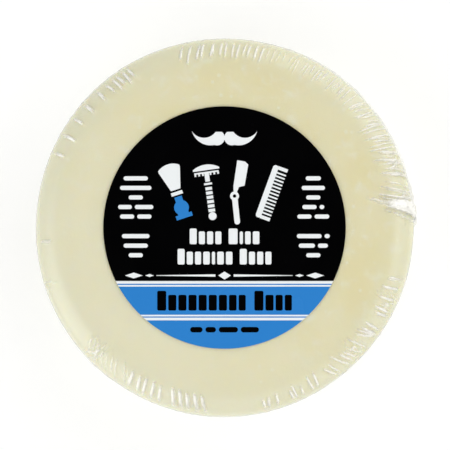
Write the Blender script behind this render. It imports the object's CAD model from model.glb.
"""Looks of a shaving soap puck in clear shrink film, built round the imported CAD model.

Lengths are metres in the row frame: +Z up through the front label, +Y to its top edge.
Rim paths, pleats and creases are worked out in millimetres, which suit their size.
"""

import math
from collections import namedtuple

import bpy
import numpy as np
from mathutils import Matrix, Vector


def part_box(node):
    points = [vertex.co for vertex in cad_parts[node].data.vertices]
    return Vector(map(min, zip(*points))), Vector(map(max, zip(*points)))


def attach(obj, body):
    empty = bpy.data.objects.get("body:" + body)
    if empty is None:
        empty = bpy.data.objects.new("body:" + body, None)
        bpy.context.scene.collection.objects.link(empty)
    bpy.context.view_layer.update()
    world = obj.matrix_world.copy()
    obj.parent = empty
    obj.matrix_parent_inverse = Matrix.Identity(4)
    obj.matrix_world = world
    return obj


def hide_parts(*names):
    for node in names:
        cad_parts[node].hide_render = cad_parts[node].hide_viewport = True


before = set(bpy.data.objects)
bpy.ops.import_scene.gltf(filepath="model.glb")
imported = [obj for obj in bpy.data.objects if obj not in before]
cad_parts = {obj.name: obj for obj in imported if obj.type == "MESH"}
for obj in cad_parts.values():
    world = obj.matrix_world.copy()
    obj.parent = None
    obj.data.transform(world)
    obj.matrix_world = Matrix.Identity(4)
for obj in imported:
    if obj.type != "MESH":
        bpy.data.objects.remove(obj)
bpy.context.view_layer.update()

# ---------- Sizes ----------

MM = 0.001

SOAP_LOW, SOAP_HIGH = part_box("soap_puck")
SOAP_R = (SOAP_HIGH.x - SOAP_LOW.x) / 2 / MM
SOAP_H = (SOAP_HIGH.z - SOAP_LOW.z) / MM
SOAP_MID_Z = (SOAP_HIGH.z + SOAP_LOW.z) / 2 / MM
FILM_FACE_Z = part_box("wrap_front_web")[1].z / MM
OUTLINE_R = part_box("wrap_welded_seam")[1].x / MM

EDGE_WIDE = 4.8  # the rounded edge's reach across the face
EDGE_TALL = 3.2  # and its reach down the side
EDGE_START_R = SOAP_R - EDGE_WIDE
EDGE_LENGTH = (EDGE_WIDE + EDGE_TALL) / 2 * math.pi / 2
SIDE_LENGTH = SOAP_H / 2 - EDGE_TALL  # from the edge to the weld at mid height
SEAM_PATH = EDGE_LENGTH + SIDE_LENGTH

FILM_T = 0.06
FACE_CLEARANCE = 0.01  # between the film and the adhesive on it
FLOOR_CLEARANCE = 0.02  # below the back web's pleats
# Between the soap and the film, on the faces and all round.
FILM_GAP = FILM_FACE_Z - SOAP_MID_Z - SOAP_H / 2 - FILM_T - FACE_CLEARANCE


# ---------- Small maths ----------


def smoothstep(x):
    """x from 0 to 1, eased at both ends and clamped."""
    x = np.clip(x, 0.0, 1.0)
    return x * x * (3 - 2 * x)


def wrapped(angle):
    """The same angle between minus pi and pi."""
    return (angle + math.pi) % (2 * math.pi) - math.pi


def lattice_noise(x, y, seed, cells_round=None):
    """Smooth noise from -1 to 1 on a grid of unit cells. x repeats after cells_round cells."""
    columns = cells_round or 256
    rows = 256
    values = np.random.default_rng(seed).uniform(-1, 1, (columns, rows))
    x_cell = np.floor(x).astype(int)
    y_cell = np.floor(y).astype(int)
    x_share = smoothstep(x - x_cell)
    y_share = smoothstep(y - y_cell)
    left = x_cell % columns
    right = (x_cell + 1) % columns
    low = y_cell % rows
    high = (y_cell + 1) % rows
    bottom = values[left, low] * (1 - x_share) + values[right, low] * x_share
    top = values[left, high] * (1 - x_share) + values[right, high] * x_share
    return bottom * (1 - y_share) + top * y_share


# ---------- The puck's shape ----------

SWELL_MEAN = -0.02
# Waves round the cast side: how many go round, their height in mm, and their phase in radians.
SWELL_WAVES = [(2, 0.05, -2.4), (3, 0.04, -0.7), (5, 0.05, 1.3)]
SWELL_PATH = -4.0  # where the swelling starts on the face, and how far on it is whole
SWELL_RUN = 8.0


def soap_swell(angle):
    """How far the cast side stands out from a true circle, in mm."""
    return SWELL_MEAN + sum(
        height * np.cos(count * angle + phase) for count, height, phase in SWELL_WAVES
    )


def edge_turn(path):
    """How far round the rounded edge a point is: 0 on the face and a right angle on the side."""
    return np.clip(path / EDGE_LENGTH, 0.0, 1.0) * math.pi / 2


def rim_position(path, angle, lift, side):
    """Points on the puck's surface, raised by lift along its normal, in metres.

    path is how far a point lies past the start of the rounded edge, down towards the
    seam, in mm, and is negative on the flat face. side is 1 in front and -1 behind.
    """
    turn = edge_turn(path)
    flat = np.minimum(path, 0.0)
    down = np.maximum(path - EDGE_LENGTH, 0.0)
    radius = EDGE_START_R + flat + (EDGE_WIDE + lift) * np.sin(turn)
    height = SOAP_H / 2 - EDGE_TALL + (EDGE_TALL + lift) * np.cos(turn) - down
    radius = radius + soap_swell(angle) * smoothstep((path - SWELL_PATH) / SWELL_RUN)
    x = radius * np.cos(angle)
    y = radius * np.sin(angle)
    z = np.broadcast_to(SOAP_MID_Z + side * height, x.shape)
    return np.stack([x, y, z], -1) * MM


def ring_quads(rows, columns, first, flip):
    """Quads of a grid whose columns close round the axis. first is its first point's number."""
    row = (np.arange(rows - 1) * columns)[:, None] + first
    here = np.arange(columns)[None, :]
    after = (here + 1) % columns
    corners = [row + here, row + columns + here, row + columns + after, row + after]
    if flip:
        corners.reverse()
    return np.stack(corners, -1).reshape(-1, 4)


def centre_fan(columns, first, centre, flip):
    """Triangles from the point centre to a row of points that closes round the axis."""
    here = np.arange(columns) + first
    after = (np.arange(columns) + 1) % columns + first
    corners = [np.full(columns, centre), here, after]
    if flip:
        corners.reverse()
    return np.stack(corners, -1)


def make_mesh(name, points, faces, material):
    """A smooth-shaded object from points and a list of face arrays."""
    mesh = bpy.data.meshes.new(name)
    mesh.from_pydata(points.tolist(), [], [f for block in faces for f in block.tolist()])
    mesh.polygons.foreach_set("use_smooth", np.ones(len(mesh.polygons), bool))
    mesh.materials.append(material)
    mesh.update()
    made = bpy.data.objects.new(name, mesh)
    bpy.context.scene.collection.objects.link(made)
    return made


def set_attribute(piece, name, values):
    """Stores one number for each point of a piece."""
    attribute = piece.data.attributes.new(name, "FLOAT", "POINT")
    attribute.data.foreach_set("value", np.ascontiguousarray(values, np.float32).ravel())


# ---------- Materials ----------


class Nodes:
    """One material and short calls that build its nodes."""

    def __init__(self, name):
        self.material = bpy.data.materials.new(name)
        self.material.use_nodes = True
        self.tree = self.material.node_tree
        self.tree.nodes.clear()
        self.coords = self.add("TexCoord").outputs["Object"]

    def add(self, kind, inputs=None, **settings):
        """A new node. Each input is a value, or another node's output to link."""
        made = self.tree.nodes.new("ShaderNode" + kind)
        for key, value in settings.items():
            setattr(made, key, value)
        for key, value in (inputs or {}).items():
            if isinstance(value, bpy.types.NodeSocket):
                self.tree.links.new(value, made.inputs[key])
            else:
                made.inputs[key].default_value = value
        return made

    def math(self, operation, a, b=0.0, c=0.0, clamp=False):
        return self.add("Math", {0: a, 1: b, 2: c}, operation=operation, use_clamp=clamp).outputs[0]

    def noise(self, size_mm, detail=2.0, roughness=0.5, distortion=0.0, vector=None):
        """Cloudy noise from 0 to 1, with clouds about size_mm wide."""
        inputs = {
            "Vector": self.coords if vector is None else vector,
            "Scale": 1 / (size_mm * MM),
            "Detail": detail,
            "Roughness": roughness,
            "Distortion": distortion,
        }
        return self.add("TexNoise", inputs).outputs["Fac"]

    def ramp(self, value, low, high, to_low=0.0, to_high=1.0):
        """value from low to high becomes to_low to to_high, smoothly and clamped."""
        inputs = {"Value": value, "From Min": low, "From Max": high, "To Min": to_low, "To Max": to_high}
        return self.add("MapRange", inputs, interpolation_type="SMOOTHSTEP").outputs["Result"]

    def mix(self, share, a, b):
        """Colour a, or colour b where share is 1."""
        made = self.add("Mix", data_type="RGBA")
        for key, value in {"Factor": share, "A": a, "B": b}.items():
            socket = next(s for s in made.inputs if s.name == key and s.enabled)
            if isinstance(value, bpy.types.NodeSocket):
                self.tree.links.new(value, socket)
            else:
                socket.default_value = value
        return next(s for s in made.outputs if s.enabled)

    def bump(self, height, depth_mm, normal=None):
        inputs = {"Height": height, "Strength": 1.0, "Distance": depth_mm * MM}
        if normal is not None:
            inputs["Normal"] = normal
        return self.add("Bump", inputs).outputs["Normal"]

    def mix_shaders(self, share, a, b):
        return self.add("MixShader", {0: share, 1: a, 2: b}).outputs[0]

    def finish(self, surface):
        self.add("OutputMaterial", {"Surface": surface})
        return self.material


SOAP_CREAM = (0.903, 0.842, 0.588, 1)
SOAP_YELLOW = (0.888, 0.812, 0.514, 1)
SOAP_PALE = (0.928, 0.892, 0.705, 1)
SOAP_GREEN = (0.832, 0.826, 0.648, 1)


def soap_material():
    """Cast milk soap: cream, faintly mottled, with pale specks and a waxy, translucent body."""
    n = Nodes("soap_cast_cream")
    clouds = n.ramp(n.noise(16, detail=4, roughness=0.6), 0.35, 0.68)
    body = n.mix(clouds, SOAP_CREAM, SOAP_YELLOW)
    across = n.add("VectorMath", {0: n.coords, 1: (-0.8, -0.6, 0)}, operation="DOT_PRODUCT")
    poured = n.ramp(across.outputs["Value"], -20 * MM, 45 * MM, 0.0, 0.8)
    body = n.mix(poured, body, SOAP_PALE)
    patches = n.ramp(n.noise(3.2, detail=4, roughness=0.6, distortion=0.4), 0.50, 0.72, 0.0, 0.8)
    body = n.mix(patches, body, SOAP_PALE)

    flat = n.add("VectorMath", {0: n.coords, 1: (1, 1, 0)}, operation="MULTIPLY").outputs[0]
    radius = n.add("VectorMath", {0: flat}, operation="LENGTH").outputs["Value"]
    rim = n.ramp(radius, (EDGE_START_R - 4) * MM, (SOAP_R + 0.2) * MM, 0.0, 0.65)
    body = n.mix(rim, body, SOAP_GREEN)

    specks = n.add("TexVoronoi", {"Vector": n.coords, "Scale": 1 / (2.6 * MM)}, feature="F1")
    scattered = n.noise(4.0, detail=1)
    speck = n.ramp(specks.outputs["Distance"], 0.22, 0.10)
    speck = n.math("MULTIPLY", speck, n.ramp(scattered, 0.50, 0.60, 0.0, 0.9))
    body = n.mix(speck, body, SOAP_PALE)

    grain = n.noise(0.7, detail=4, roughness=0.65)
    normal = n.bump(grain, 0.035)
    normal = n.bump(n.noise(6, detail=2), 0.12, normal)
    inputs = {
        "Base Color": body,
        "Roughness": n.ramp(grain, 0.3, 0.7, 0.42, 0.6),
        "Subsurface Weight": 0.45,
        "Subsurface Radius": (1.0, 0.82, 0.45),
        "Subsurface Scale": 2.5 * MM,
        "Specular IOR Level": 0.35,
        "Normal": normal,
    }
    return n.finish(n.add("BsdfPrincipled", inputs).outputs[0])


FILM_GLOSS = 0.038  # share of light that one face of the film reflects head on
PLEAT_LAYERS = 4.6  # how many times as much a pleat reflects, as it is folded on itself
GRAZING_GLOSS = 0.9  # share of light that the film reflects when seen edge on
CREST_POWER = 2.5  # keeps a crease's gloss and milk to where it is most doubled
SIDE_ROUGHNESS = 0.13
FACE_ROUGHNESS = 0.30
CREST_ROUGHNESS = 0.15
FILM_TINT = (0.995, 0.997, 0.99, 1)
FILM_EDGE_TINT = (0.86, 0.875, 0.845, 1)
FILM_HAZE = (0.97, 0.955, 0.88, 1)
LEAST_HAZE = 0.75  # share of the haze that is left where it is thinnest


def film_material(name, haze):
    """Clear shrink film, with a milky share where it is creased. haze is that share's most."""
    n = Nodes(name)
    ripples = n.noise(3.2, detail=3, roughness=0.5, distortion=0.3)
    normal = n.bump(ripples, 0.03)
    facing = n.add("LayerWeight", {"Blend": 0.5, "Normal": normal}).outputs["Facing"]
    creased = n.add("Attribute", attribute_name="crease").outputs["Fac"]
    crest = n.math("POWER", creased, CREST_POWER)
    layered = n.math("MINIMUM", crest, 1.0)
    head_on = n.math("MULTIPLY_ADD", layered, FILM_GLOSS * (PLEAT_LAYERS - 1), FILM_GLOSS)
    grazing = n.math("MULTIPLY", n.math("POWER", facing, 5.0), GRAZING_GLOSS)
    gloss_share = n.math("ADD", head_on, grazing, clamp=True)
    tint = n.mix(n.math("POWER", facing, 4.0), FILM_TINT, FILM_EDGE_TINT)
    clear = n.add("BsdfTransparent", {"Color": tint}).outputs[0]
    height = n.add("SeparateXYZ", {0: n.coords}).outputs["Z"]
    off_middle = n.math("ABSOLUTE", n.math("SUBTRACT", height, SOAP_MID_Z * MM))
    edge_from = (SIDE_LENGTH - 3) * MM
    edge_to = (SIDE_LENGTH + 1.5) * MM
    between = n.ramp(off_middle, edge_from, edge_to, SIDE_ROUGHNESS, FACE_ROUGHNESS)
    roughness = {0: n.ramp(crest, 0.0, 0.5), 2: between, 3: CREST_ROUGHNESS}
    rough = n.add("Mix", roughness).outputs[0]
    shine = n.add("BsdfGlossy", {"Color": (1, 1, 1, 1), "Roughness": rough, "Normal": normal})
    milk = n.add("BsdfDiffuse", {"Color": FILM_HAZE, "Normal": normal}).outputs[0]
    streaks = n.noise(0.5, detail=2)
    thickness = n.ramp(streaks, 0.3, 0.7, LEAST_HAZE * haze, haze)
    milky = n.math("MULTIPLY", crest, thickness, clamp=True)
    body = n.mix_shaders(milky, clear, milk)
    return n.finish(n.mix_shaders(gloss_share, body, shine.outputs[0]))


GLUE_THIN = (0.80, 0.78, 0.66, 1)
GLUE_THICK = (0.90, 0.88, 0.78, 1)
PAPER_SHADE = (0.90, 0.93, 0.935, 1)
PAPER_WHITE = (0.93, 0.96, 0.965, 1)


def adhesive_material():
    """Clear adhesive, which looks cream over the soap and is a little cloudy."""
    n = Nodes("adhesive_clear")
    cloud = n.noise(1.5, detail=2)
    inputs = {
        "Base Color": n.mix(cloud, GLUE_THIN, GLUE_THICK),
        "Roughness": 0.25,
        "Alpha": 0.7,
        "Normal": n.bump(cloud, 0.01),
    }
    return n.finish(n.add("BsdfPrincipled", inputs).outputs[0])


def paper_material():
    """Smooth white label stock: short fibres, and a slightly cool, mottled white."""
    n = Nodes("label_paper")
    stretched = n.add("Mapping", {"Vector": n.coords, "Scale": (1.0, 3.0, 1.0)}).outputs[0]
    fibres = n.noise(0.35, detail=4, roughness=0.7, vector=stretched)
    mottle = n.noise(4, detail=3)
    inputs = {
        "Base Color": n.mix(mottle, PAPER_SHADE, PAPER_WHITE),
        "Roughness": n.ramp(fibres, 0.3, 0.7, 0.45, 0.65),
        "Specular IOR Level": 0.3,
        "Normal": n.bump(fibres, 0.006),
    }
    return n.finish(n.add("BsdfPrincipled", inputs).outputs[0])


BLACK = (0.0008, 0.0008, 0.001, 1)
BLACK_THIN = (0.002, 0.002, 0.0025, 1)
BLUE = (0.031, 0.234, 0.645, 1)
BLUE_THIN = (0.042, 0.254, 0.665, 1)


def ink_material(name, colour, thin, shine):
    """A printed layer: a solid colour with a fine screen's mottle and a slightly uneven gloss."""
    n = Nodes(name)
    screen = n.noise(0.18, detail=2, roughness=0.6)
    sweep = n.noise(7, detail=3)
    thinned = n.math("MULTIPLY", n.ramp(screen, 0.58, 0.8), n.ramp(sweep, 0.3, 0.8))
    inputs = {
        "Base Color": n.mix(thinned, colour, thin),
        "Roughness": n.ramp(sweep, 0.3, 0.7, 0.22, 0.28),
        "Specular IOR Level": shine,
        "Normal": n.bump(screen, 0.002),
    }
    return n.finish(n.add("BsdfPrincipled", inputs).outputs[0])


FLOOR_GREY = (0.55, 0.55, 0.55, 1)
GLOW_START = 0.12  # metres from the middle where the floor's glow begins to rise, and is whole
GLOW_END = 0.7
GLOW_NEAR = 0.54
GLOW_FAR = 0.74


def floor_material():
    """A pale sweep that glows a little, and more where the softboxes' light runs out."""
    n = Nodes("floor_white")
    away = n.add("VectorMath", {0: n.coords}, operation="LENGTH").outputs["Value"]
    inputs = {
        "Base Color": FLOOR_GREY,
        "Roughness": 0.9,
        "Specular IOR Level": 0.0,
        "Emission Color": (1, 1, 1, 1),
        "Emission Strength": n.ramp(away, GLOW_START, GLOW_END, GLOW_NEAR, GLOW_FAR),
    }
    return n.finish(n.add("BsdfPrincipled", inputs).outputs[0])


SOAP = soap_material()
FILM = film_material("shrink_film_clear", haze=0.80)
SEAM = film_material("shrink_film_weld", haze=0.45)
ADHESIVE = adhesive_material()
PAPER = paper_material()
BLACK_INK = ink_material("ink_black", BLACK, BLACK_THIN, shine=0.03)
BLUE_INK = ink_material("ink_blue", BLUE, BLUE_THIN, shine=0.10)

CAD_MATERIALS = {
    "front_label_adhesive": ADHESIVE,
    "front_label_stock": PAPER,
    "front_label_dark_ink": BLACK_INK,
    "front_label_blue_ink": BLUE_INK,
    "back_label_adhesive": ADHESIVE,
    "back_label_stock": PAPER,
    "back_label_dark_ink": BLACK_INK,
}


def finish_cad_nodes():
    """Gives the label's CAD nodes their materials."""
    for name, material in CAD_MATERIALS.items():
        for material_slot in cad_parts[name].material_slots:
            material_slot.material = material


# ---------- Soap ----------

SOAP_COLUMNS = 300
SOAP_FACE_ROWS = 26
SOAP_EDGE_ROWS = 13
SOAP_SIDE_ROWS = 10
INNER_RING = 0.04  # the innermost ring's radius, as a share of the flat face's
FACE_DENTS = 0.06  # depth of the shallow hollows on the faces and on the side
SIDE_DENTS = 0.10
FACE_DENT_SIZE = 7.0
SIDE_DENT_TALL = 4.0
SIDE_DENT_COUNT = 48


def soap_dents(path, angle, seed):
    """How far the cast surface dips below the true one, in mm, in shallow hollows."""
    radius = EDGE_START_R + np.minimum(path, 0.0)
    x = radius * np.cos(angle) / FACE_DENT_SIZE
    y = radius * np.sin(angle) / FACE_DENT_SIZE
    on_face = lattice_noise(x + 40, y + 40, seed)
    round_side = angle / (2 * math.pi) * SIDE_DENT_COUNT
    on_side = lattice_noise(round_side, path / SIDE_DENT_TALL + 30, seed + 1, SIDE_DENT_COUNT)
    face_share = 1 - smoothstep((path + 1.0) / 2.0)
    dips = (on_face * 0.5 + 0.5) * face_share * FACE_DENTS
    return dips + (on_side * 0.5 + 0.5) * (1 - face_share) * SIDE_DENTS


def make_soap():
    """The bare puck: a closed surface from the middle of its front face to that of its back."""
    face = np.linspace(-EDGE_START_R * (1 - INNER_RING), -1.0, SOAP_FACE_ROWS)
    edge = np.linspace(0.0, EDGE_LENGTH, SOAP_EDGE_ROWS)
    down = np.linspace(EDGE_LENGTH + 1.2, SEAM_PATH, SOAP_SIDE_ROWS)
    half_path = np.concatenate([face, edge, down])[:, None]
    angle = np.linspace(0, 2 * math.pi, SOAP_COLUMNS, endpoint=False)[None, :]
    front = rim_position(half_path, angle, -soap_dents(half_path, angle, 11), 1)
    back = rim_position(half_path, angle, -soap_dents(half_path, angle, 23), -1)
    front[-1] = (front[-1] + back[-1]) / 2
    rings = np.concatenate([front, back[-2::-1]])
    rows = len(rings)
    top = [[0, 0, SOAP_HIGH.z - FACE_DENTS / 2 * MM]]
    bottom = [[0, 0, SOAP_LOW.z + FACE_DENTS / 2 * MM]]
    points = np.concatenate([rings.reshape(-1, 3), top, bottom])
    count = rows * SOAP_COLUMNS
    faces = [
        ring_quads(rows, SOAP_COLUMNS, 0, False),
        centre_fan(SOAP_COLUMNS, 0, count, False),
        centre_fan(SOAP_COLUMNS, count - SOAP_COLUMNS, count + 1, True),
    ]
    soap = make_mesh("soap_body", points, faces, SOAP)
    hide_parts("soap_puck")
    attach(soap, "root")


# ---------- Film ----------

# A stretch of the rim: where it starts, in degrees anticlockwise from +X, its pleats' spacing,
# height and width in mm, how far inside the rounded edge they start, how far along they are
# full-grown, how ragged they are from 0 to 1, the side to which each pleat has its steep back
# (1 is anticlockwise, -1 is clockwise and 0 is either), how far they lean anticlockwise on
# their way outwards, in mm per mm, how milky they are, and what share of that is left at the
# outline.
Zone = namedtuple("Zone", "start spacing height width inset reach ragged back lean milk lasts")
# A stretch with next to no pleats, apart from its start.
SMOOTH = (30.0, 0.10, 0.60, 0.0, 3.0, 0.1, 1, 0.0, 1.0, 0.1)
ZONES = [
    Zone(-3, *SMOOTH),
    Zone(7, 0.95, 0.22, 0.30, 1.8, 2.4, 0.9, 0, -0.48, 1.0, 0.9),
    Zone(18, 0.85, 0.20, 0.29, 0.8, 2.2, 0.8, 0, -0.42, 1.0, 0.9),
    Zone(36, 0.85, 0.20, 0.29, -0.4, 2.0, 0.8, 0, -0.40, 0.95, 0.7),
    Zone(46, 0.90, 0.18, 0.29, -0.4, 2.0, 0.8, 0, -0.12, 0.85, 0.5),
    Zone(62, 1.20, 0.12, 0.30, 0.0, 2.0, 0.7, 1, -0.21, 0.60, 0.3),
    Zone(78, 1.30, 0.14, 0.42, 0.2, 2.0, 0.5, 1, -0.19, 0.90, 0.1),
    Zone(95, 1.70, 0.18, 0.48, 0.4, 2.0, 0.6, 1, -0.44, 1.12, 0.1),
    Zone(108, *SMOOTH),
    Zone(119, 1.40, 0.22, 0.50, -0.2, 1.8, 0.4, -1, 0.25, 1.2, 0.1),
    Zone(129, 4.20, 0.26, 0.60, -0.3, 1.8, 0.4, -1, 0.08, 1.15, 0.1),
    Zone(162, *SMOOTH),
    Zone(216, 1.15, 0.14, 0.32, 0.2, 2.4, 0.9, 0, 0.80, 0.75, 0.4),
    Zone(236, 1.80, 0.18, 0.66, 0.7, 3.0, 0.15, 1, 0.28, 0.95, 0.15),
    Zone(250, 1.80, 0.19, 0.70, 1.0, 3.0, 0.15, 1, 0.44, 1.0, 0.15),
    Zone(263, *SMOOTH),
    Zone(281, 1.90, 0.20, 0.50, 0.0, 1.6, 0.9, -1, 0.0, 1.0, 0.1),
    Zone(303, 1.50, 0.18, 0.42, 0.2, 1.6, 0.9, -1, 0.55, 0.95, 0.1),
    Zone(322, 2.10, 0.18, 0.46, 0.4, 1.6, 0.9, -1, 0.13, 1.05, 0.1),
    Zone(342, *SMOOTH),
]
RIM_END = 357.0
BACK_TURN = 137.0  # the back's zones are the same, turned by this many degrees

LEAN_LENGTH = 6.5  # how far along a pleat leans before it runs straight down the side
PLEAT_BACK_SHARE = 0.60  # width of a pleat's steep back, as a share of its front's
NEAR_PLEAT = math.radians(14)  # a pleat matters this far to either side, wherever it leans
EDGE_FLATTENING = 0.65  # share of its height that a pleat loses over the outer half of the edge
CREASE_START = 0.8  # how far along a pleat it starts to show white, and how much later it is whole
CREASE_RUN = 1.2
DULL_PATH = 2.8  # how far past the start of the edge most pleats lose that white, and in what run
DULL_RUN = 1.6
SIDE_DULLING = 0.3  # share of the white that all pleats lose below the edge, and in what run
SIDE_DULL_RUN = 3.0

Pleat = namedtuple("Pleat", "angle width height start lean reach back milk lasts")


def zone_ends():
    """Each zone with the angle where it ends."""
    return zip(ZONES, [zone.start for zone in ZONES[1:]] + [RIM_END])


def zone_pleats(turn, seed):
    """The pleats of all the zones, turned round the rim by turn degrees."""
    draw = np.random.default_rng(seed)
    pleats = []
    for zone, end in zone_ends():
        step = math.degrees(zone.spacing / SOAP_R)
        at = zone.start + step / 2
        while at < end:
            ragged = zone.ragged
            shift = draw.uniform(-0.35, 0.35) * step * ragged
            pleats.append(Pleat(
                angle=math.radians(at + shift + turn),
                width=zone.width * draw.uniform(1 - 0.3 * ragged, 1 + 0.25 * ragged),
                height=zone.height * draw.uniform(1 - 0.55 * ragged, 1 + 0.3 * ragged),
                start=-zone.inset + draw.uniform(-1.5, 0.9) * ragged,
                lean=zone.lean + draw.uniform(-0.12, 0.12) * (0.3 + ragged),
                reach=zone.reach * draw.uniform(0.85, 1.15),
                back=zone.back or draw.choice([-1, 1]),
                milk=zone.milk,
                lasts=zone.lasts,
            ))
            at += step
    return pleats


def pleat_lift(pleats, path, angle):
    """How far the pleats stand off the soap, in mm, and how much each point is in a pleat."""
    lift = np.zeros((path.size, angle.size))
    crease = np.zeros((path.size, angle.size))
    flatter = 1 - EDGE_FLATTENING * smoothstep((path - EDGE_LENGTH / 2) / (EDGE_LENGTH / 2))
    outwards = smoothstep((path - DULL_PATH) / DULL_RUN)
    below_edge = 1 - SIDE_DULLING * smoothstep((path - EDGE_LENGTH) / SIDE_DULL_RUN)
    for pleat in pleats:
        near = np.abs(wrapped(angle[0] - pleat.angle)) < NEAR_PLEAT
        along = path - pleat.start
        sideways = pleat.lean * np.minimum(along, LEAN_LENGTH)
        across = wrapped(angle[:, near] - pleat.angle) * SOAP_R - sideways
        across = across * pleat.back / pleat.width
        front = np.clip(1 + across, 0.0, 1.0)
        rear = np.exp(-((np.maximum(across, 0.0) / PLEAT_BACK_SHARE) ** 2))
        grown = pleat.height * front * rear * smoothstep(along / pleat.reach)
        lift[:, near] = np.maximum(lift[:, near], grown)
        doubled = smoothstep(front * 3) * rear * smoothstep((along - CREASE_START) / CREASE_RUN)
        doubled = doubled * pleat.milk * (1 - (1 - pleat.lasts) * outwards) * below_edge
        crease[:, near] = np.maximum(crease[:, near], doubled)
    return lift * flatter, crease


RAGGED_HEIGHT = 0.5  # pleats this tall would make the rim as ragged as they are


def raggedness(angle):
    """How ragged the rim is at each angle, from 0 to 1."""
    middles = [math.radians((zone.start + end) / 2) for zone, end in zone_ends()]
    strength = [zone.ragged * min(1.0, zone.height / RAGGED_HEIGHT) for zone in ZONES]
    return np.interp(angle, middles, strength, period=2 * math.pi)


def round_noise(angle, count, row, seed):
    """Smooth noise from -1 to 1 round the rim, with count cells, along one row of the grid."""
    return lattice_noise(angle / (2 * math.pi) * count, row, seed, count)


def seam_lift(angle):
    """How far the ruffled weld stands off the soap, in mm, the same for both webs."""
    wave = round_noise(angle, 150, 3.5, 31)
    slow = round_noise(angle, 22, 8.5, 32)
    rough = raggedness(angle)
    return 0.06 + 0.03 * slow + (0.02 + 0.10 * rough) * wave + 0.06 * rough


# Patches of crumpled film: angle in degrees, place on the rim's path, size and height in mm.
CRUMPLES = [(1, 4.6, 1.8, 0.34), (9, 2.6, 2.0, 0.30), (21, 2.2, 2.4, 0.24), (198, 4.0, 2.2, 0.16),
            (224, 2.8, 3.0, 0.30), (317, 2.0, 2.4, 0.26), (336, 2.2, 2.4, 0.26)]
CRUMPLE_WIDE = 0.9  # a crumple's cells round the rim, and along the path
CRUMPLE_LONG = 1.1
CRUMPLE_SKEW = 0.25
RIDGE_START = 0.6  # the height, as a share, above which a ridge shows white
RIDGE_RUN = 0.35


def crumple_lift(path, angle, turn):
    """How far crumpled film stands off the soap, in mm, and how doubled it is on its ridges."""
    lift = np.zeros((path.size, angle.size))
    crease = np.zeros((path.size, angle.size))
    for index, (degrees, place, size, tall) in enumerate(CRUMPLES):
        across = wrapped(angle - math.radians(degrees + turn)) * SOAP_R
        near = np.exp(-((across / size) ** 2 + ((path - place) / size) ** 2))
        cells_along = path / CRUMPLE_LONG + CRUMPLE_SKEW * across + 60
        ridge = 1 - np.abs(lattice_noise(across / CRUMPLE_WIDE + 60, cells_along, 50 + index))
        lift = np.maximum(lift, tall * near * ridge ** 2)
        crease = np.maximum(crease, near * smoothstep((ridge - RIDGE_START) / RIDGE_RUN))
    return lift, crease


# The big fold on the right, on the flattened rim in mm: its steep lower edge runs from
# FOLD_START to FOLD_END, and FOLD_TOP is where its upper edge leaves the rim.
FOLD_START = (28.6, 6.5)
FOLD_END = (42.5, 1.8)
FOLD_TOP = (42.5, 5.6)
FOLD_SLOPE = 0.34  # how far it rises for each mm that it is wide
FOLD_WIDEST = 1.9  # it grows no taller where it is wider than this
FOLD_FRAY = 0.45  # how far its upper edge wanders
FOLD_FRAY_SIZE = 0.9
FOLD_CLIFF = 0.26  # how far its steep lower edge reaches
FOLD_LAYERS = 1.45  # how much more doubled than a pleat
FOLD_STREAK_SIZE = 2.5
FOLD_STREAKS = 0.3  # share of the white that its streaks take away
FOLD_HALFWAY = 0.38  # where, along its run from 0 to 1, it turns from half white to white
FOLD_FADING = 0.7  # share of the white that it loses from FOLD_FADE_PATH on
FOLD_FADE_PATH = EDGE_LENGTH - 0.8
FOLD_SINKING = 0.85  # share of its height that it loses from FOLD_SINK_PATH on
FOLD_SINK_PATH = EDGE_LENGTH + 1.0
FOLD_RUN = 3.0  # how long each of those takes


def fold_lift(path, angle):
    """How far the fold stands off the soap, in mm, and how doubled the film is in it."""
    flattened = EDGE_START_R + path
    x = flattened * np.cos(angle)
    y = flattened * np.sin(angle)
    run = (x - FOLD_START[0]) / (FOLD_END[0] - FOLD_START[0])
    lower = FOLD_START[1] + (FOLD_END[1] - FOLD_START[1]) * run
    upper = FOLD_START[1] + (FOLD_TOP[1] - FOLD_START[1]) * run
    fray = lattice_noise(x / FOLD_FRAY_SIZE + 80, 3.5, 61)
    upper = upper + FOLD_FRAY * fray * smoothstep(run * 3)
    across = np.maximum(upper - lower, 0.05)
    below = np.clip((upper - y) / across, 0.0, 1.0)
    cliff = np.exp(-((np.maximum(lower - y, 0.0) / FOLD_CLIFF) ** 2))
    inside = smoothstep(run * 6) * smoothstep((SEAM_PATH - path) / 5.0)
    sunk = 1 - FOLD_SINKING * smoothstep((path - FOLD_SINK_PATH) / FOLD_RUN)
    tall = FOLD_SLOPE * np.minimum(across, FOLD_WIDEST) * below * cliff * inside * sunk
    whiter = 0.5 * smoothstep(run * 6) + 0.5 * smoothstep((run - FOLD_HALFWAY) * 9)
    streaks = lattice_noise(x / FOLD_STREAK_SIZE + 90, below * 4 + 20, 62)
    streaked = 1 - FOLD_STREAKS * smoothstep(streaks + 0.3)
    faded = 1 - FOLD_FADING * smoothstep((path - FOLD_FADE_PATH) / FOLD_RUN)
    doubled = smoothstep(below * 5) * cliff * whiter * streaked * faded
    return tall, FOLD_LAYERS * doubled


SMOOTH_SPACING = 10.0  # a zone with pleats further apart than this has next to none
SMOOTH_GAP = 0.5  # between such a zone's stations
STATIONS_A_PLEAT = 2.7  # how many stations there are in a pleat's width
FINEST_GAP = 0.095
COARSEST_GAP = 0.22
FILM_EDGE_ROWS = 15
FILM_SIDE_ROWS = 9


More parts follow.
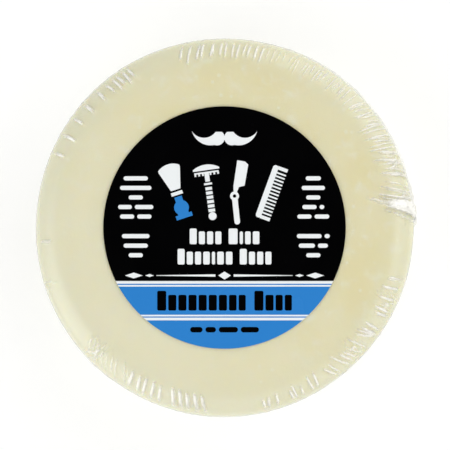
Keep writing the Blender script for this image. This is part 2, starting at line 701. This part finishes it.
def film_stations(turn):
    """Angles round the rim, closer together where the pleats are narrow."""
    angles = []
    for zone, end in zone_ends():
        gap = min(max(zone.width / STATIONS_A_PLEAT, FINEST_GAP), COARSEST_GAP)
        if zone.spacing > SMOOTH_SPACING:
            gap = SMOOTH_GAP
        steps = round(math.radians(end - zone.start) * SOAP_R / gap)
        angles.extend(np.linspace(zone.start, end, steps, endpoint=False))
    return np.sort(wrapped(np.radians(np.array(angles) + turn)))[None, :]


def film_rows():
    """Where the film's rings of points lie on the path, closest together round the edge."""
    flat = [-22.0, -9.0, -7.0]
    face = np.arange(-5.6, -0.2, 0.7)
    edge = np.linspace(0.0, EDGE_LENGTH, FILM_EDGE_ROWS)
    down = np.linspace(EDGE_LENGTH + 0.8, SEAM_PATH, FILM_SIDE_ROWS)
    return np.concatenate([flat, face, edge, down])[:, None]


WELD_RUN = 4.5  # how far from the weld the film begins to follow it
LIFT_AT_WELD = 0.35  # share of the pleats' height that is left there


def make_web(name, node, side, turn, seed, folded):
    """One web of shrink film, from the middle of a face to the weld, as a thin closed shell."""
    path = film_rows()
    angle = film_stations(turn)
    lift, crease = pleat_lift(zone_pleats(turn, seed), path, angle)
    crumpled, ridged = crumple_lift(path, angle, turn)
    lift = np.maximum(lift, crumpled)
    crease = np.maximum(crease, ridged)
    if folded:
        fold, doubled = fold_lift(path, angle)
        lift = np.maximum(lift, fold)
        crease = np.maximum(crease, doubled)
    if side < 0:
        downwards = np.maximum(np.cos(edge_turn(path)), 0.2)
        room = (SOAP_LOW.z / MM + EDGE_TALL - FLOOR_CLEARANCE) / downwards
        lift = np.minimum(lift, room - EDGE_TALL - FILM_GAP - FILM_T)
    to_weld = smoothstep((path - SEAM_PATH + WELD_RUN) / WELD_RUN)
    weld = seam_lift(angle)
    lift = lift * (1 - to_weld) + (weld + LIFT_AT_WELD * lift) * to_weld
    lift[-1] = weld[0]
    outer = rim_position(path, angle, FILM_GAP + FILM_T + lift, side)
    inner = rim_position(path, angle, FILM_GAP + lift, side)
    rows, columns = lift.shape
    count = rows * columns
    face_z = SOAP_MID_Z + side * (SOAP_H / 2 + FILM_GAP)
    centres = np.array([[0, 0, face_z + side * FILM_T], [0, 0, face_z]]) * MM
    points = np.concatenate([outer.reshape(-1, 3), inner.reshape(-1, 3), centres])
    here = np.arange(columns)
    after = (here + 1) % columns
    last = count - columns
    rim = np.stack([last + here, count + last + here, count + last + after, last + after], -1)
    behind = side < 0
    faces = [
        ring_quads(rows, columns, 0, behind),
        ring_quads(rows, columns, count, not behind),
        centre_fan(columns, 0, 2 * count, behind),
        centre_fan(columns, count, 2 * count + 1, not behind),
        rim[:, ::-1] if behind else rim,
    ]
    web = make_mesh(name, points, faces, FILM)
    set_attribute(web, "crease", np.concatenate([crease.ravel(), crease.ravel(), [0, 0]]))
    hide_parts(node)
    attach(web, "root")
    return web


# How far the weld's fin reaches past the film, in mm, by angle in degrees.
FIN_REACH = [(-3, 0.12), (0, 0.25), (1.5, 0.85), (4, 0.80), (8, 0.55), (20, 0.45), (60, 0.35),
             (80, 0.12), (215, 0.10), (228, 0.35), (240, 0.12), (340, 0.14), (350, 0.20)]
FIN_T = 0.10
FIN_COLUMNS = 1400
FIN_ROOT = 0.06  # how far inside the webs' weld it starts
FIN_LEAST = 0.08  # added to its reach, so that it always clears the weld
FIN_RAGGED = 0.38  # share of its reach by which its edge wanders
FIN_SWAY = 0.42  # how far it waves up and down where it reaches FIN_FULL or more
FIN_FULL = 0.5
FIN_CREASE = 0.8


def make_seam():
    """The welded fin: a thin ruffled band all round, at mid height."""
    angle = np.linspace(-math.pi, math.pi, FIN_COLUMNS, endpoint=False)
    degrees, reach = np.array(FIN_REACH).T
    width = np.interp(np.degrees(angle) % 360, degrees % 360, reach, period=360)
    width = width * (1 + FIN_RAGGED * round_noise(angle, 230, 2.5, 41))
    root = SOAP_R + soap_swell(angle) + FILM_GAP + seam_lift(angle) - FIN_ROOT
    sway = FIN_SWAY * round_noise(angle, 90, 6.5, 42)
    shares = np.array([0.0, 0.35, 0.7, 1.0])[:, None]
    radius = root + (width + FIN_LEAST) * shares
    height = SOAP_MID_Z + sway * shares * np.minimum(width / FIN_FULL, 1.0)
    ring = np.stack([radius * np.cos(angle), radius * np.sin(angle), height], -1)
    upper = ring + [0, 0, FIN_T / 2]
    lower = ring - [0, 0, FIN_T / 2]
    loop = np.concatenate([upper, lower[::-1]]) * MM
    rows = len(loop)
    points = loop.reshape(-1, 3)
    closing = ring_quads(2, FIN_COLUMNS, 0, True)
    closing = np.where(closing >= FIN_COLUMNS, closing + (rows - 2) * FIN_COLUMNS, closing)
    faces = [ring_quads(rows, FIN_COLUMNS, 0, False), closing]
    fin = make_mesh("film_weld_fin", points, faces, SEAM)
    set_attribute(fin, "crease", np.full(len(points), FIN_CREASE))
    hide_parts("wrap_welded_seam")
    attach(fin, "root")


# ---------- Stage ----------

FRAME_SHARE = 0.846  # of the picture's width that the puck's outline takes
CAMERA_HEIGHT = 2.5
CAMERA_X = 0.1 * MM
CAMERA_Y = 0.53 * MM
SENSOR = 36.0
FLOOR_HALF = 6.0


def make_camera():
    """Straight above the puck, with a long lens, and +Y up in the picture."""
    data = bpy.data.cameras.new("camera")
    data.sensor_width = SENSOR
    data.lens = SENSOR * (CAMERA_HEIGHT - SOAP_MID_Z * MM) / (2 * OUTLINE_R * MM / FRAME_SHARE)
    data.clip_start = 0.1
    data.clip_end = 20
    camera = bpy.data.objects.new("camera", data)
    camera.location = (CAMERA_X, CAMERA_Y, CAMERA_HEIGHT)
    bpy.context.scene.collection.objects.link(camera)
    bpy.context.scene.camera = camera


def make_floor():
    """A plain square floor, with its middle under the puck."""
    corners = FLOOR_HALF * np.array([[-1, -1, 0], [1, -1, 0], [1, 1, 0], [-1, 1, 0]])
    floor = make_mesh("floor", corners, [np.array([[0, 1, 2, 3]])], floor_material())


BOX_DISTANCE = 0.75
# Softboxes: azimuth and elevation of the middle, width and height in degrees, and radiance.
SOFTBOXES = [
    (46, 41, 52, 66, 1.21),
    (-42, 41, 36, 66, 1.01),
    (-145, 41, 40, 66, 1.31),
]


def make_softbox(azimuth, elevation, wide, tall, radiance):
    """A soft rectangular light that faces the puck and that the camera doesn't see."""
    turn = math.radians(azimuth)
    rise = math.radians(elevation)
    data = bpy.data.lights.new("softbox", "AREA")
    data.shape = "RECTANGLE"
    data.size = 2 * BOX_DISTANCE * math.tan(math.radians(wide / 2))
    data.size_y = 2 * BOX_DISTANCE * math.tan(math.radians(tall / 2))
    data.energy = radiance * math.pi * data.size * data.size_y
    box = bpy.data.objects.new("softbox", data)
    flat = BOX_DISTANCE * math.cos(rise)
    box.location = (flat * math.cos(turn), flat * math.sin(turn), BOX_DISTANCE * math.sin(rise))
    box.rotation_mode = "QUATERNION"
    box.rotation_quaternion = box.location.to_track_quat("Z", "Y")
    box.visible_camera = False
    bpy.context.scene.collection.objects.link(box)


DOME_RADIANCE = 0.68
ZENITH_RADIANCE = 0.02
ZENITH_START = 0.75  # height on the dome, from 0 to 1, where it begins to darken, and is dark
ZENITH_END = 0.93
DOME_LEFT_GAIN = 0.22  # how much brighter the fill is from the left, and dimmer from the right


def make_world():
    """White behind the puck for the camera, and a dimmer fill that is dark round the zenith."""
    world = bpy.data.worlds.new("studio")
    bpy.context.scene.world = world
    world.use_nodes = True
    tree = world.node_tree
    tree.nodes.clear()
    output = tree.nodes.new("ShaderNodeOutputWorld")
    background = tree.nodes.new("ShaderNodeBackground")
    seen = tree.nodes.new("ShaderNodeBackground")
    chooser = tree.nodes.new("ShaderNodeMixShader")
    path = tree.nodes.new("ShaderNodeLightPath")
    coords = tree.nodes.new("ShaderNodeTexCoord")
    split = tree.nodes.new("ShaderNodeSeparateXYZ")
    fall = tree.nodes.new("ShaderNodeMapRange")
    slant = tree.nodes.new("ShaderNodeMath")
    both = tree.nodes.new("ShaderNodeMath")
    tree.links.new(coords.outputs["Generated"], split.inputs[0])
    tree.links.new(split.outputs["Z"], fall.inputs["Value"])
    fall.inputs["From Min"].default_value = ZENITH_START
    fall.inputs["From Max"].default_value = ZENITH_END
    fall.inputs["To Min"].default_value = DOME_RADIANCE
    fall.inputs["To Max"].default_value = ZENITH_RADIANCE
    slant.operation = "MULTIPLY_ADD"
    slant.inputs[1].default_value = -DOME_LEFT_GAIN
    slant.inputs[2].default_value = 1.0
    both.operation = "MULTIPLY"
    tree.links.new(split.outputs["X"], slant.inputs[0])
    tree.links.new(fall.outputs["Result"], both.inputs[0])
    tree.links.new(slant.outputs[0], both.inputs[1])
    tree.links.new(both.outputs[0], background.inputs["Strength"])
    seen.inputs["Strength"].default_value = 1.0
    seen.inputs["Color"].default_value = (1, 1, 1, 1)
    tree.links.new(path.outputs["Is Camera Ray"], chooser.inputs[0])
    tree.links.new(background.outputs[0], chooser.inputs[1])
    tree.links.new(seen.outputs[0], chooser.inputs[2])
    tree.links.new(chooser.outputs[0], output.inputs["Surface"])


def set_look():
    """Plain colours, and enough bounces to see through all the layers of pleated film."""
    scene = bpy.context.scene
    scene.view_settings.view_transform = "Standard"
    scene.cycles.transparent_max_bounces = 24
    scene.cycles.sample_clamp_indirect = 4.0


make_camera()
make_floor()
for softbox in SOFTBOXES:
    make_softbox(*softbox)
make_world()
set_look()
finish_cad_nodes()
make_soap()
front_web = make_web("film_front", "wrap_front_web", 1, 0.0, 5, True)
back_web = make_web("film_back", "wrap_back_web", -1, BACK_TURN, 6, False)
make_seam()
